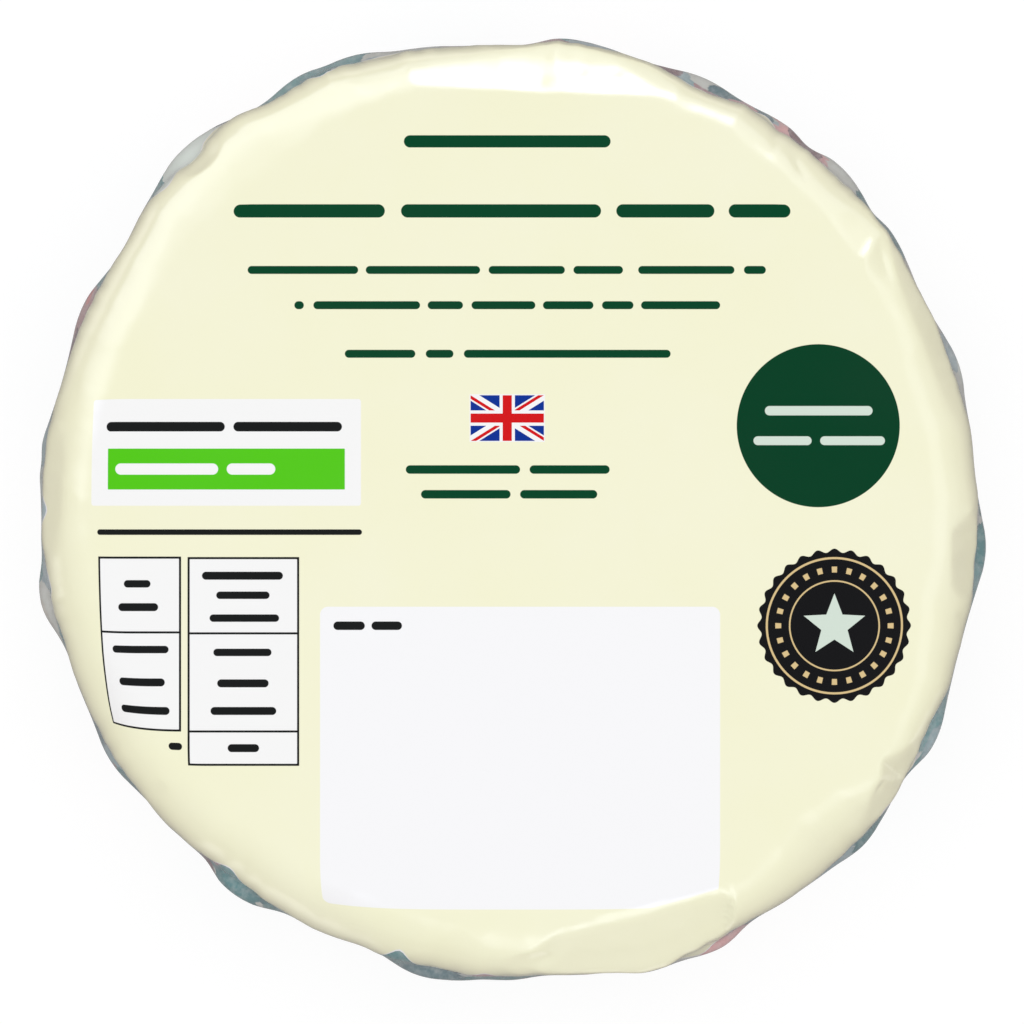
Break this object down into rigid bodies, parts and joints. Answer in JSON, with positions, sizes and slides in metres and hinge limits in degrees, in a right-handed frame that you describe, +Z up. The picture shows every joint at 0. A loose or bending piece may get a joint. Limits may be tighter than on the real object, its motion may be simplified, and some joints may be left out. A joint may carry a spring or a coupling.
{
  "type": "wrapped pork pie",
  "caption": "Whole round pork pie shut in glossy printed film, with a flat label face, soft shoulder, bowed side and flat base.",
  "frame": {"origin": "bottom centre of the pack, on the surface it rests on", "axes": "+Z up through the label face, +Y towards the top of the label"},
  "size_m": [0.0998, 0.0992, 0.046],
  "materials": {
    "printed_film": "glossy cream printed film"
  },
  "bodies": {
    "root": {"wrapped_pie": "printed_film"}
  },
  "joints": []
}
